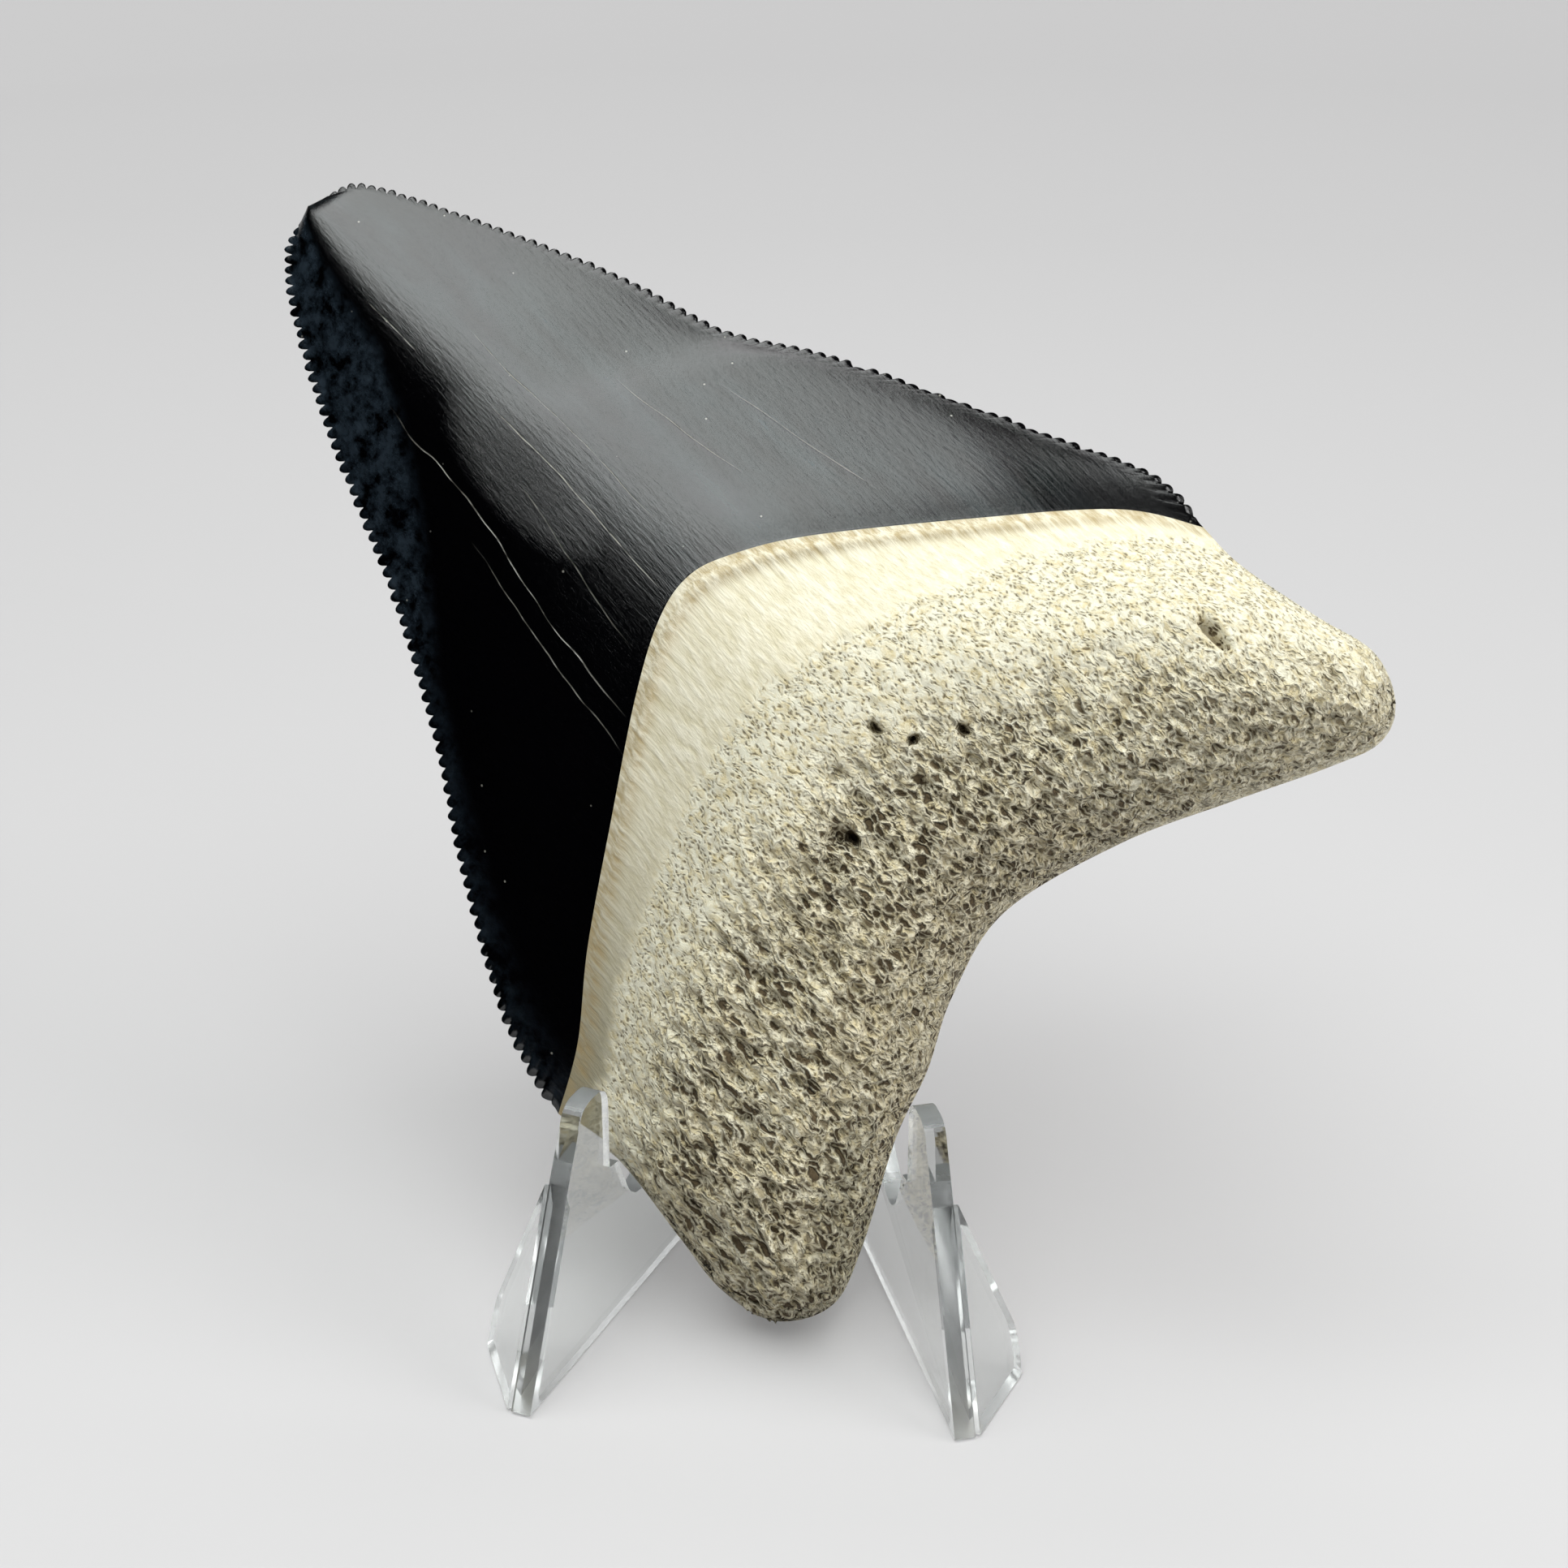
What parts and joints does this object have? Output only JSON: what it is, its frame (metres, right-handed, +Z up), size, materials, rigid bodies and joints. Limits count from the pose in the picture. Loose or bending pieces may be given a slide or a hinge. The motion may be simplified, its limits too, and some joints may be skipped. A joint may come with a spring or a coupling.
{
  "type": "fossil tooth on easel",
  "caption": "Fossil megalodon tooth with a black serrated crown and a porous cream root, leaning tip up in a clear V-shaped easel.",
  "frame": {"origin": "on the table, under the middle of the whole object's box", "axes": "+X to the right seen from the front, +Y from the front feet to the back fold of the easel, +Z up"},
  "size_m": [0.0736, 0.042, 0.0678],
  "materials": {
    "tooth": "polished black enamel crown, dry porous cream root",
    "stand": "clear moulded acrylic with polished faces"
  },
  "bodies": {
    "root": {"tooth": "tooth", "stand": "stand"}
  },
  "joints": []
}
